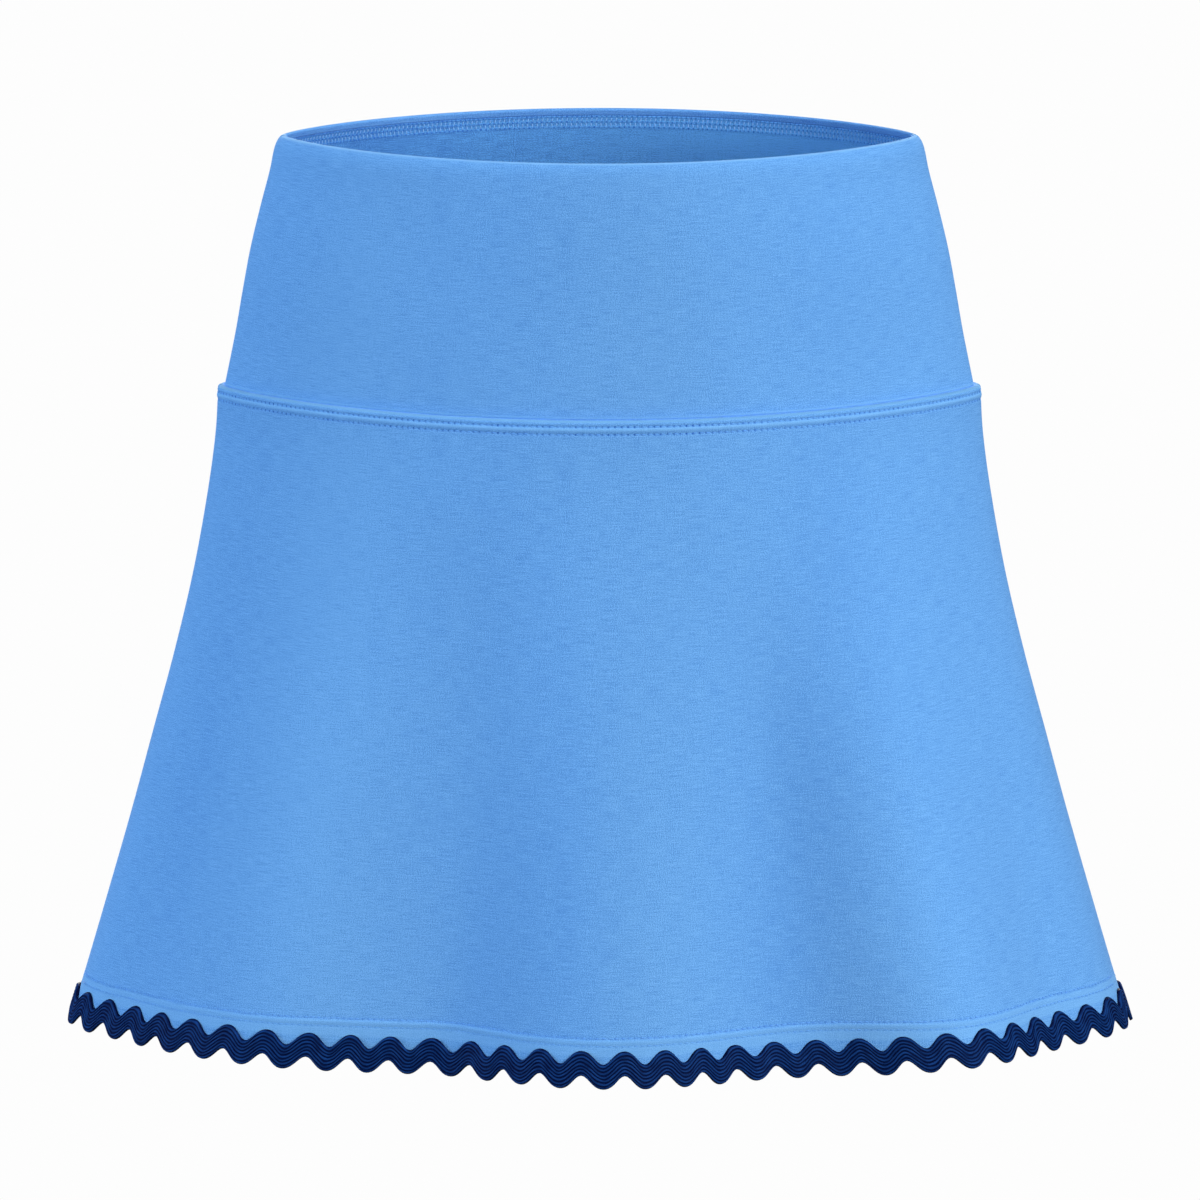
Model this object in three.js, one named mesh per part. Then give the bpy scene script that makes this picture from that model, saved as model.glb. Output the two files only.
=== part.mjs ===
import * as THREE from 'three';

// A pull-on sports skirt, filled out as it is worn, with nobody in it.
// Millimetres, +Z up. The origin is the centre of the waist opening, level with its top edge.
// The front of the garment faces -Y. A row of a table is a height, given as the distance
// down from the top edge.

// Driving sizes
const BAND_DEPTH = 103.4;
const HEM_DOWN = 364;
const CLOTH = 1.2;
const SEAM_GAP = 0.3;
const LIP_DOWN = 3;
const SHELL = CLOTH * 2 + SEAM_GAP;
const ROLL_RADIUS = SHELL / 2;
const SIDE_ROUND = 12;

// Waistband: half-width, half-depth in front and behind, and how pointed its sides are, where
// 1 is an ellipse and 1.5 a lens. SIDE_ROUND rounds the points of the lens at the side seams.
const BAND_SECTIONS = [
  { down: 0, half: 130.5, front: 96.5, back: 93, pinch: 1.55 },
  { down: 3, half: 132.5, front: 97.5, back: 94, pinch: 1.55 },
  { down: 6.5, half: 133.7, front: 98, back: 94.7, pinch: 1.55 },
  { down: 14, half: 135.2, front: 98.5, back: 96, pinch: 1.56 },
  { down: 30, half: 139.4, front: 99.3, back: 99, pinch: 1.58 },
  { down: 47, half: 143.5, front: 100, back: 102.5, pinch: 1.6 },
  { down: 64, half: 146.7, front: 100.7, back: 106, pinch: 1.62 },
  { down: 81, half: 149.7, front: 101.4, back: 109.5, pinch: 1.64 },
  { down: BAND_DEPTH, half: 154.3, front: 102.4, back: 113, pinch: 1.66 },
];

// Skirt panels, before their folds
const SKIRT_SECTIONS = [
  { down: BAND_DEPTH, half: 157, front: 105, back: 115.5, pinch: 1.66 },
  { down: 122, half: 158, front: 106.5, back: 118, pinch: 1.62 },
  { down: 147, half: 161.3, front: 108.8, back: 121, pinch: 1.55 },
  { down: 181, half: 167.5, front: 111.8, back: 125.5, pinch: 1.46 },
  { down: 214, half: 175.3, front: 114.6, back: 129.5, pinch: 1.37 },
  { down: 247, half: 184.2, front: 117.2, back: 133, pinch: 1.29 },
  { down: 281, half: 193.4, front: 119.6, back: 136.5, pinch: 1.22 },
  { down: 314, half: 202.9, front: 121.8, back: 139.5, pinch: 1.16 },
  { down: 347, half: 212.6, front: 123.6, back: 142, pinch: 1.11 },
  { down: HEM_DOWN, half: 217.8, front: 124.4, back: 143, pinch: 1.1 },
];

// Soft folds of the flare: where each lies in degrees from the panel's centre line,
// how far it stands out at the hem, its spread in degrees, and the height where it starts
const FRONT_FOLDS = [
  { at: -66, out: -3.5, spread: 10, from: 128 },
  { at: -17, out: -9, spread: 6.5, from: 130 },
  { at: 1, out: 25, spread: 13, from: 122 },
  { at: 41, out: 15, spread: 15, from: 122 },
  { at: 60, out: -4, spread: 10, from: 140 },
];
const BACK_FOLDS = [
  { at: -57, out: 8, spread: 12, from: 130 },
  { at: -34, out: -7, spread: 9, from: 140 },
  { at: -10, out: 15, spread: 13, from: 122 },
  { at: 12, out: -10, spread: 9, from: 126 },
  { at: 33, out: 16, spread: 12, from: 122 },
  { at: 62, out: -4, spread: 11, from: 140 },
];
const FOLD_EASE = 0.15;

// Seam allowances folded down behind the top of the skirt, which is rounded over them
const SKIRT_TOP = BAND_DEPTH + SEAM_GAP;
const SHOULDER = [
  { down: SKIRT_TOP, inset: 2.6 },
  { down: SKIRT_TOP + 0.9, inset: 1.2 },
  { down: SKIRT_TOP + 2.3, inset: 0.3 },
  { down: SKIRT_TOP + 6, inset: 0 },
];
const ALLOWANCE = [
  { down: SKIRT_TOP + 11.5, inset: CLOTH },
  { down: SKIRT_TOP + 9.5, inset: 4.2 },
  { down: SKIRT_TOP, inset: 5.4 },
];
const SKIRT_ROWS = [122, 147, 173, 200, 227, 254, 281, 308, 330, 347];
const HEM_FOLD_TOP = 350;

// Rows of the waistband and its facing, down from the lip of the rolled top edge
const BAND_ROWS = [14, 30, 47, 64, 81, BAND_DEPTH];
const BAND_TOP_ROWS = [6.5, 3];

// Rickrack braid round the hem
const BRAID_DOWN = 361;
const BRAID_WIDTH = 9.9;
const BRAID_THICKNESS = 1.4;
const BRAID_SWING = 2.7;
const BRAID_ROUNDING = 0.12;
const STEPS_PER_WAVE = 8;
const FRONT_WAVES = 31.5;
const BACK_WAVES = 32.5;

const BAND_STEPS = 36;
const SKIRT_STEPS = 48;
const ARC_SAMPLES = 720;
const QUARTER = Math.PI / 2;

const cloth = new THREE.MeshStandardMaterial({ color: 'rgb(98, 160, 232)', roughness: 0.85, metalness: 0 });
const facingCloth = new THREE.MeshStandardMaterial({ color: 'rgb(88, 150, 222)', roughness: 0.9, metalness: 0 });
const braid = new THREE.MeshStandardMaterial({ color: 'rgb(14, 34, 100)', roughness: 0.55, metalness: 0 });

// Smooth curve through one column of a section table
function column(table, key, down) {
  const last = table.length - 1;
  const slope = (i) => {
    const a = table[Math.max(i - 1, 0)];
    const b = table[Math.min(i + 1, last)];
    return (b[key] - a[key]) / (b.down - a.down);
  };
  if (down >= table[last].down) return table[last][key] + slope(last) * (down - table[last].down);
  let i = 0;
  while (i < last - 1 && table[i + 1].down <= down) i += 1;
  const span = table[i + 1].down - table[i].down;
  const t = (down - table[i].down) / span;
  const rise = t * t * (3 - 2 * t);
  return table[i][key] * (1 - rise) + table[i + 1][key] * rise
    + span * (slope(i) * t * (1 - t) ** 2 - slope(i + 1) * t * t * (1 - t));
}

// Displacement of the folds at an angle from the centre line and a height
function foldOut(folds, angle, down) {
  const degrees = THREE.MathUtils.radToDeg(angle);
  return folds.reduce((sum, fold) => {
    const t = (down - fold.from) / (HEM_DOWN - fold.from);
    if (t <= 0) return sum;
    const ramp = (t * t * (1 + FOLD_EASE)) / (t + FOLD_EASE);
    return sum + fold.out * ramp * Math.exp(-(((degrees - fold.at) / fold.spread) ** 2));
  }, 0);
}

// The four panels: their section table, the side of the body and their folds
const front = { facing: -1, depth: 'front' };
const back = { facing: 1, depth: 'back' };
const bandFront = { ...front, table: BAND_SECTIONS, folds: [] };
const bandBack = { ...back, table: BAND_SECTIONS, folds: [] };
const skirtFront = { ...front, table: SKIRT_SECTIONS, folds: FRONT_FOLDS };
const skirtBack = { ...back, table: SKIRT_SECTIONS, folds: BACK_FOLDS };

// Outward direction across a plan curve, from its neighbours on each side
function outward(panel, curve, angle) {
  const nudge = 0.004;
  const a = curve(Math.max(angle - nudge, -QUARTER));
  const b = curve(Math.min(angle + nudge, QUARTER));
  return new THREE.Vector2(b.y - a.y, a.x - b.x).multiplyScalar(-panel.facing).normalize();
}

// A point of a panel: angle from its centre line, height, and distance moved in from its outside
function wallPoint(panel, angle, down, inset) {
  const half = column(panel.table, 'half', down);
  const depth = column(panel.table, panel.depth, down);
  const pinch = column(panel.table, 'pinch', down);
  const lens = (a) => new THREE.Vector2(
    (half - SIDE_ROUND) * Math.sin(a),
    panel.facing * (depth - SIDE_ROUND) * Math.max(Math.cos(a), 0) ** pinch);
  const plain = (a) => lens(a).add(outward(panel, lens, a).multiplyScalar(SIDE_ROUND));
  const folded = (a) => {
    const out = foldOut(panel.folds, a, down);
    return plain(a).add(outward(panel, plain, a).multiplyScalar(out));
  };
  const p = folded(angle).sub(outward(panel, folded, angle).multiplyScalar(inset));
  const atSide = QUARTER - Math.abs(angle) < 1e-6;
  return new THREE.Vector3(p.x, atSide ? panel.facing * (SEAM_GAP / 2) : p.y, -down);
}

// Closed body through equal rings of points, with flat caps cut from the shape of the section
function sweptBody(name, rings, section, material) {
  const count = section.length;
  const flat = section.map((p) => new THREE.Vector2(p.inset, p.down));
  const turn = Math.sign(THREE.ShapeUtils.area(flat));
  const cap = THREE.ShapeUtils.triangulateShape(flat, []).map(([a, b, c]) => {
    const same = THREE.ShapeUtils.area([flat[a], flat[b], flat[c]]) * turn > 0;
    return same ? [a, b, c] : [a, c, b];
  });
  const faces = [];
  for (let k = 0; k < rings.length - 1; k += 1) {
    for (let j = 0; j < count; j += 1) {
      const next = (j + 1) % count;
      const here = k * count;
      const there = here + count;
      faces.push([here + j, here + next, there + next], [here + j, there + next, there + j]);
    }
  }
  const end = (rings.length - 1) * count;
  cap.forEach(([a, b, c]) => faces.push([a, c, b], [end + a, end + b, end + c]));
  const points = rings.flat();
  const volume = faces.reduce((sum, [a, b, c]) =>
    sum + points[a].dot(points[b].clone().cross(points[c])), 0);
  if (volume < 0) faces.forEach((face) => face.reverse());
  const geometry = new THREE.BufferGeometry().setFromPoints(points);
  geometry.setIndex(faces.flat());
  geometry.computeVertexNormals();
  const mesh = new THREE.Mesh(geometry, material);
  mesh.name = name;
  return mesh;
}

// Piece of cloth from one side seam to the other, with the given section
function panelBody(name, panel, steps, section, material) {
  const rings = [];
  for (let k = 0; k <= steps; k += 1) {
    const angle = -QUARTER + (Math.PI * k) / steps;
    rings.push(section.map((p) => wallPoint(panel, angle, p.down, p.inset)));
  }
  return sweptBody(name, rings, section, material);
}

// Outer waistband: one layer, rolled over the top edge to a short lip inside
function bandSection() {
  const outside = [...BAND_TOP_ROWS, ROLL_RADIUS].map((down) => ({ down, inset: 0 }));
  const rows = [...BAND_ROWS].reverse().map((down) => ({ down, inset: 0 }));
  const roll = [1, 2, 3].map((step) => {
    const turn = (step * Math.PI) / 4;
    return { down: ROLL_RADIUS * (1 - Math.sin(turn)), inset: ROLL_RADIUS * (1 - Math.cos(turn)) };
  });
  const lip = [
    { down: ROLL_RADIUS, inset: SHELL },
    { down: LIP_DOWN, inset: SHELL },
    { down: LIP_DOWN, inset: CLOTH },
  ];
  const inside = BAND_ROWS.map((down) => ({ down, inset: CLOTH }));
  return [...rows, ...outside, ...roll, ...lip, ...inside];
}

// Facing: one layer inside the waistband, from the lip down to the seam
function facingSection() {
  const rows = [LIP_DOWN + SEAM_GAP, ...BAND_ROWS];
  return [
    ...[...rows].reverse().map((down) => ({ down, inset: CLOTH + SEAM_GAP })),
    ...rows.map((down) => ({ down, inset: SHELL })),
  ];
}

// Skirt panel: one layer below the rounded seam, with the hem turned up inside
function skirtSection() {
  const outside = [...SHOULDER, ...SKIRT_ROWS.map((down) => ({ down, inset: 0 })),
    { down: HEM_FOLD_TOP, inset: 0 }, { down: HEM_DOWN, inset: 0 }];
  const hem = [{ down: HEM_DOWN, inset: CLOTH * 2 }, { down: HEM_FOLD_TOP, inset: CLOTH * 2 }];
  const inside = [...SKIRT_ROWS].reverse().map((down) => ({ down, inset: CLOTH }));
  return [...outside, ...hem, ...inside, ...ALLOWANCE];
}

// A point on the outside of a skirt panel's flat facets, moved out. Below the last row the
// facets run on straight, because the braid hangs past the edge of the cloth.
function onFacets(panel, angle, down, out) {
  const place = ((angle + QUARTER) / Math.PI) * SKIRT_STEPS;
  const k = Math.min(Math.floor(place), SKIRT_STEPS - 1);
  const corner = (step) => {
    const a = -QUARTER + (Math.PI * step) / SKIRT_STEPS;
    const upper = wallPoint(panel, a, HEM_FOLD_TOP, -out);
    const lower = wallPoint(panel, a, HEM_DOWN, -out);
    return upper.lerp(lower, (down - HEM_FOLD_TOP) / (HEM_DOWN - HEM_FOLD_TOP));
  };
  return corner(k).lerp(corner(k + 1), place - k);
}

// Angles at even distances along the hem, from the left side seam to the right
function evenAngles(panel, steps) {
  const angles = [...Array(ARC_SAMPLES + 1).keys()].map((i) => -QUARTER + (Math.PI * i) / ARC_SAMPLES);
  const points = angles.map((a) => wallPoint(panel, a, BRAID_DOWN, 0));
  const run = [0];
  for (let i = 1; i < points.length; i += 1) run.push(run[i - 1] + points[i].distanceTo(points[i - 1]));
  const result = [];
  let i = 0;
  for (let k = 0; k <= steps; k += 1) {
    const target = (run[ARC_SAMPLES] * k) / steps;
    while (i < ARC_SAMPLES - 1 && run[i + 1] < target) i += 1;
    result.push(THREE.MathUtils.lerp(angles[i], angles[i + 1], (target - run[i]) / (run[i + 1] - run[i])));
  }
  return result;
}

// Rickrack: a woven braid that swings up and down, with broad outer crests and tighter notches
function braidBody(name, panel, waves) {
  const steps = waves * STEPS_PER_WAVE;
  const edge = (turn, side) => {
    const wave = Math.cos(turn) + 2 * BRAID_ROUNDING * side * Math.sin(turn) ** 2;
    return BRAID_DOWN - BRAID_SWING * wave - (side * BRAID_WIDTH) / 2;
  };
  const section = [
    { down: BRAID_WIDTH, inset: -BRAID_THICKNESS },
    { down: 0, inset: -BRAID_THICKNESS },
    { down: 0, inset: 0 },
    { down: BRAID_WIDTH, inset: 0 },
  ];
  const rings = evenAngles(panel, steps).map((angle, k) => {
    const turn = (2 * Math.PI * k) / STEPS_PER_WAVE;
    return section.map((corner) => {
      const side = corner.down > 0 ? -1 : 1;
      return onFacets(panel, angle, edge(turn, side), SEAM_GAP - corner.inset);
    });
  });
  return sweptBody(name, rings, section, braid);
}

const skirt = new THREE.Group();
skirt.name = 'sports_skirt';
skirt.add(
  panelBody('waistband_front', bandFront, BAND_STEPS, bandSection(), cloth),
  panelBody('waistband_back', bandBack, BAND_STEPS, bandSection(), cloth),
  panelBody('facing_front', bandFront, BAND_STEPS, facingSection(), facingCloth),
  panelBody('facing_back', bandBack, BAND_STEPS, facingSection(), facingCloth),
  panelBody('skirt_front', skirtFront, SKIRT_STEPS, skirtSection(), cloth),
  panelBody('skirt_back', skirtBack, SKIRT_STEPS, skirtSection(), cloth),
  braidBody('rickrack_front', skirtFront, FRONT_WAVES),
  braidBody('rickrack_back', skirtBack, BACK_WAVES),
);

export default skirt;
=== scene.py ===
import math

import bpy
import numpy as np
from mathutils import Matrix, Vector


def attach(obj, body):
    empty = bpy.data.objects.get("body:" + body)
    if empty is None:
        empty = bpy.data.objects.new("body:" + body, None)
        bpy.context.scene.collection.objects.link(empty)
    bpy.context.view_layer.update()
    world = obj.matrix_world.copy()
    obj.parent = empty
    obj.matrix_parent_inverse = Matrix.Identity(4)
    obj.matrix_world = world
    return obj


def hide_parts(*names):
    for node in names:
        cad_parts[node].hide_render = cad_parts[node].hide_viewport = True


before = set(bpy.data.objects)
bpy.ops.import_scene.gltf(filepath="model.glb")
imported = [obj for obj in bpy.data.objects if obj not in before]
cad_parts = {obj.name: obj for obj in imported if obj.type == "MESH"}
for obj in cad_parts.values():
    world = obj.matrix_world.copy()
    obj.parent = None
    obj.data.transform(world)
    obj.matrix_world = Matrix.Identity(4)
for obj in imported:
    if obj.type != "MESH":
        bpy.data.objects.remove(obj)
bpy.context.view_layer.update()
bpy.ops.object.select_all(action="DESELECT")

# View. A long lens looks straight at the front of the skirt from a little above it, so that
# the far side of the waist shows over the near one.
MM = 0.001
PHOTO_SIZE = 1200
PHOTO_AXIS = 599.3
PIXEL = 0.412 * MM
VIEW_DISTANCE = 5.0
VIEW_RISE = 0.614
AIM_HEIGHT = -0.193
SENSOR = 36.0
VIEW_REACH = 100
aim = Vector(((PHOTO_SIZE / 2 - PHOTO_AXIS) * PIXEL, 0, AIM_HEIGHT))
eye = Vector((aim.x, -VIEW_DISTANCE, VIEW_RISE))
bpy.ops.object.camera_add(location=eye, rotation=(aim - eye).to_track_quat("-Z", "Y").to_euler())
camera = bpy.context.object
camera.data.sensor_width = SENSOR
camera.data.lens = SENSOR * (aim - eye).length / (PHOTO_SIZE * PIXEL)
camera.data.clip_end = VIEW_REACH
scene = bpy.context.scene
scene.camera = camera
scene.view_settings.view_transform = "Standard"


class Link:
    """A node's output, whose arithmetic adds Math nodes."""

    def __init__(self, finish, socket):
        self.finish = finish
        self.socket = socket

    def math(self, operation, first, second=0.0):
        return self.finish.node("ShaderNodeMath", {"operation": operation}, {0: first, 1: second})

    def __add__(self, other):
        return self.math("ADD", self, other)

    def __sub__(self, other):
        return self.math("SUBTRACT", self, other)

    def __rsub__(self, other):
        return self.math("SUBTRACT", other, self)

    def __mul__(self, other):
        return self.math("MULTIPLY", self, other)

    def __truediv__(self, other):
        return self.math("DIVIDE", self, other)

    def __pow__(self, other):
        return self.math("POWER", self, other)

    __radd__ = __add__
    __rmul__ = __mul__


class Finish:
    """A material or world, and the one way in which a node is added to it."""

    def __init__(self, holder):
        holder.use_nodes = True
        self.holder = holder
        self.tree = holder.node_tree
        self.tree.nodes.clear()

    def node(self, kind, settings=None, sockets=None, output=0):
        made = self.tree.nodes.new(kind)
        for key, value in (settings or {}).items():
            setattr(made, key, value)
        for key, value in (sockets or {}).items():
            if isinstance(value, Link):
                self.tree.links.new(value.socket, made.inputs[key])
            else:
                made.inputs[key].default_value = value
        return Link(self, made.outputs[output]) if made.outputs else made

    def mix(self, factor, first, second, blend="MIX"):
        settings = {"data_type": "RGBA", "blend_type": blend}
        return self.node("ShaderNodeMix", settings, {0: factor, 6: first, 7: second}, 2)


# Studio. The skirt hangs over a pale floor before a pale backdrop. Large soft lights stand on its
# right and left, above and behind it, and a little even light fills the room.
FLOOR_HEIGHT = -8.0
ROOM_RADIUS = 20
ROOM_WHITE = 0.983
FILL = 0.19
LIGHT_DISTANCE = 4.5
LIGHT_SIZE = 2.0
WARM = (1.03, 1.0, 0.895)
COOL = (0.85, 1.0, 1.06)
# Name, bearing from the front and height in degrees, power in watts, and colour of each light
SOFT_LIGHTS = (
    ("right", 45, 17, 162, WARM),
    ("left", -81, 7, 122, COOL),
    ("top", 10, 74, 80, WARM),
    ("back", 180, 20, 150, WARM),
)
world = bpy.data.worlds.new("room")
scene.world = world
room = Finish(world)
room_light = room.node("ShaderNodeBackground", None, {"Color": (1, 1, 1, 1), "Strength": FILL})
room.node("ShaderNodeOutputWorld", None, {"Surface": room_light})
pale = Finish(bpy.data.materials.new("pale_room"))
pale_light = pale.node("ShaderNodeEmission", None, {"Color": (1, 1, 1, 1), "Strength": ROOM_WHITE})
pale.node("ShaderNodeOutputMaterial", None, {"Surface": pale_light})
bpy.ops.mesh.primitive_plane_add(size=ROOM_RADIUS * 2, location=(0, 0, FLOOR_HEIGHT))
floor = bpy.context.object
floor.name = "floor"
bpy.ops.mesh.primitive_uv_sphere_add(radius=ROOM_RADIUS)
backdrop = bpy.context.object
backdrop.name = "backdrop"
for stage in (floor, backdrop):
    stage.data.materials.append(pale.holder)
    stage.visible_diffuse = False
    stage.visible_glossy = False
    stage.visible_shadow = False
for name, azimuth, height, power, colour in SOFT_LIGHTS:
    around, up = math.radians(azimuth), math.radians(height)
    level = math.cos(up)
    away = Vector((math.sin(around) * level, -math.cos(around) * level, math.sin(up)))
    place = Vector((0, 0, AIM_HEIGHT)) + away * LIGHT_DISTANCE
    turn = (-away).to_track_quat("-Z", "Y").to_euler()
    bpy.ops.object.light_add(type="AREA", location=place, rotation=turn)
    light = bpy.context.object
    light.name = name + "_light"
    light.visible_camera = False
    light.data.size = LIGHT_SIZE
    light.data.energy = power
    light.data.color = colour

# Waistband. A deep contoured band of stretch knit in a front and a back piece. Its outer layer
# is rolled over the top edge to a short lip, and its side seams lie at the wearer's hips.
BAND_DEPTH = 103.4
CLOTH = 1.2
CLOTH_SHOWN = 0.95
SEAM_GAP = 0.3
SEAM_LAP = 0.12
GROOVE_DEPTH = 0.9
GROOVE_WIDTH = 1.1
# Distances of the closer columns from a side seam, and of the first even one past them
SIDE_COLUMNS = np.array([0, 0.35, 0.7, 1.1, 1.6, 2.3])
SIDE_ROOM = 3.2
LIP_DOWN = 3.0
SHELL = CLOTH * 2 + SEAM_GAP
ROLL_RADIUS = SHELL / 2
SIDE_ROUND = 12.0
HEM_DOWN = 364.0
FOLD_EASE = 0.15
QUARTER = math.pi / 2
FINE = np.linspace(-QUARTER, QUARTER, 801)
FINER_STEPS = 2001
NUDGE = 0.004
# Plan sections: height, half width, depth to the front and back, and how the curve pinches in.
# Folds: angle from the centre line, height out, spread and the height where they start
SECTION = [(key, float) for key in ("down", "half", "front", "back", "pinch")]
FOLD = [(key, float) for key in ("at", "out", "spread", "start")]
BAND_SECTIONS = np.array([
    (0, 130.5, 96.5, 93, 1.55),
    (3, 132.5, 97.5, 94, 1.55),
    (6.5, 133.7, 98, 94.7, 1.55),
    (14, 135.2, 98.5, 96, 1.56),
    (30, 139.4, 99.3, 99, 1.58),
    (47, 143.5, 100, 102.5, 1.6),
    (64, 146.7, 100.7, 106, 1.62),
    (81, 149.7, 101.4, 109.5, 1.64),
    (BAND_DEPTH, 154.3, 102.4, 113, 1.66),
], dtype=SECTION)
NO_FOLDS = np.array([], dtype=FOLD)
# Soft dents of the worn band: angle from the centre line, height, depth, width and tallness
DENT = [(key, float) for key in ("at", "down", "out", "wide", "tall")]
# Painted shade and painted light on the band: spots where the knit is painted darker or lighter, with
# the share in place of the depth
BAND_PAINTED_SHADE = np.array([
    (-42, 60, 0.07, 14, 70),
    (-12, 30, -0.03, 9, 40),
    (4, 75, 0.03, 9, 40),
    (40, 50, -0.03, 12, 50),
], dtype=DENT)
BAND_DENTS = np.array([
    (-34, 34, -0.9, 9, 26),
    (-22, 84, 0.7, 7, 30),
    (-6, 52, -0.6, 6, 34),
    (12, 30, 0.6, 8, 28),
    (27, 70, -0.7, 7, 26),
    (44, 40, 0.8, 8, 30),
    (56, 82, -0.8, 7, 24),
    (-58, 66, 0.7, 7, 28),
], dtype=DENT)


def column(sections, key, down):
    """Smooth curve through one column of a section table, straight on past its last row."""
    rows, values = sections["down"], sections[key]
    last = len(rows) - 1
    before = np.clip(np.arange(last + 1) - 1, 0, last)
    after = np.clip(np.arange(last + 1) + 1, 0, last)
    slope = (values[after] - values[before]) / (rows[after] - rows[before])
    i = np.clip(np.searchsorted(rows, down, "right") - 1, 0, last - 1)
    span = rows[i + 1] - rows[i]
    t = np.clip((down - rows[i]) / span, 0, 1)
    rise = t * t * (3 - 2 * t)
    bow = span * (slope[i] * t * (1 - t) ** 2 - slope[i + 1] * t * t * (1 - t))
    beyond = np.maximum(down - rows[last], 0) * slope[last]
    return values[i] * (1 - rise) + values[i + 1] * rise + bow + beyond


def ridge(distance, reach):
    """A soft ridge: 1 in the middle, and almost nothing at twice its reach."""
    return np.exp(-((distance / reach) ** 2))


def soft_spots(table, angle, down):
    """Sum of the soft round spots of a table of dents or shades."""
    total = np.zeros(np.shape(angle))
    for spot in table:
        across = (np.degrees(angle) - spot["at"]) / spot["wide"]
        along = (down - spot["down"]) / spot["tall"]
        total = total + spot["out"] * np.exp(-(across ** 2) - along ** 2)
    return total


def fold_out(panel, angle, down):
    """How far the folds and dents of a panel stand out at an angle and height."""
    degrees = np.degrees(angle)
    out = soft_spots(panel["dents"], angle, down)
    for fold in panel["folds"]:
        t = np.maximum((down - fold["start"]) / (HEM_DOWN - fold["start"]), 0)
        ramp = t * t * (1 + FOLD_EASE) / (t + FOLD_EASE)
        out = out + fold["out"] * ramp * ridge(degrees - fold["at"], fold["spread"])
    return out


def outward(curve, angle, facing):
    """Level direction out of a plan curve, from its neighbours on each side."""
    step = curve(np.minimum(angle + NUDGE, QUARTER)) - curve(np.maximum(angle - NUDGE, -QUARTER))
    across = np.stack([step[..., 1], -step[..., 0]], -1) * -facing
    return across / np.linalg.norm(across, axis=-1, keepdims=True)


def cloth_point(panel, angle, down, inset):
    """Points of a panel in metres, moved in from its outside by an inset in millimetres."""
    angle, down, inset = np.broadcast_arrays(*(np.asarray(x, float) for x in (angle, down, inset)))
    facing = panel["facing"]
    half = column(panel["sections"], "half", down) - SIDE_ROUND
    depth = column(panel["sections"], "front" if facing < 0 else "back", down) - SIDE_ROUND
    pinch = column(panel["sections"], "pinch", down)

    def lens(a):
        return np.stack([half * np.sin(a), facing * depth * np.maximum(np.cos(a), 0) ** pinch], -1)

    def plain(a):
        return lens(a) + SIDE_ROUND * outward(lens, a, facing)

    def folded(a):
        return plain(a) + outward(plain, a, facing) * fold_out(panel, a, down)[..., None]

    flat = folded(angle) - outward(folded, angle, facing) * inset[..., None]
    return np.concatenate([flat, -down[..., None]], -1) * MM


def side_groove(angle, panel, down):
    """Depth of the soft groove where a panel's edge turns in to its side seam."""
    edge = cloth_point(panel, np.sign(angle) * QUARTER, down, 0)
    near = np.linalg.norm(cloth_point(panel, angle, down, 0) - edge, axis=-1) / MM
    return GROOVE_DEPTH * ridge(near, GROOVE_WIDTH)


def run_along(panel, down):
    """Distances of the fine angles from a panel's left side seam, in millimetres, at one height."""
    run = np.linalg.norm(np.diff(cloth_point(panel, FINE, down, 0), axis=0), axis=1) / MM
    return np.concatenate([[0], np.cumsum(run)])


def panel_columns(panel, down, spacing):
    """Angles of a panel's columns: evenly spaced, and closer at the side seams for their groove."""
    run = run_along(panel, down)
    length = run[-1]
    plain = np.arange(SIDE_ROOM, length - SIDE_ROOM, spacing)
    places = np.concatenate([SIDE_COLUMNS, plain, (length - SIDE_COLUMNS)[::-1]]) / length
    finer = np.interp(np.linspace(0, length, FINER_STEPS), run, FINE)
    return np.interp(places, np.linspace(0, 1, FINER_STEPS), finer)


def add_grid(name, columns, rows, turned=False):
    """Adds a flat grid, and finds the column and row of each of its vertices. The columns are
    counted from the other end where the piece faces the other way."""
    bpy.ops.mesh.primitive_grid_add(x_subdivisions=columns - 1, y_subdivisions=rows - 1, size=2)
    piece = bpy.context.object
    piece.name = piece.data.name = name
    spots = np.empty(len(piece.data.vertices) * 3)
    piece.data.vertices.foreach_get("co", spots)
    spots = spots.reshape(-1, 3)
    col = np.rint((spots[:, 0] + 1) / 2 * (columns - 1)).astype(int)
    row = np.rint((1 - spots[:, 1]) / 2 * (rows - 1)).astype(int)
    col = columns - 1 - col if turned else col
    return piece, col, row


def lay_grid(piece, points, uv, thickness, offset=-1, shade=None):
    """Lays a grid's vertices on their points with their UV map, and makes the grid a closed shell."""
    mesh = piece.data
    mesh.vertices.foreach_set("co", points.ravel())
    corner = np.empty(len(mesh.loops), int)
    mesh.loops.foreach_get("vertex_index", corner)
    mesh.uv_layers.active.name = "cloth"
    mesh.uv_layers["cloth"].data.foreach_set("uv", uv[corner].ravel())
    if shade is not None:
        mesh.attributes.new("shade", "FLOAT", "POINT").data.foreach_set("value", shade)
    bpy.ops.object.shade_smooth()
    solid = piece.modifiers.new("thickness", "SOLIDIFY")
    solid.thickness = thickness * MM
    solid.offset = offset
    bpy.ops.object.modifier_apply(modifier=solid.name)


def close_sides(panel, points):
    """Takes a panel's end columns just past the side seam, so that front and back meet there."""
    points[:, [0, -1], 1] = -panel["facing"] * SEAM_LAP * MM


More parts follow.
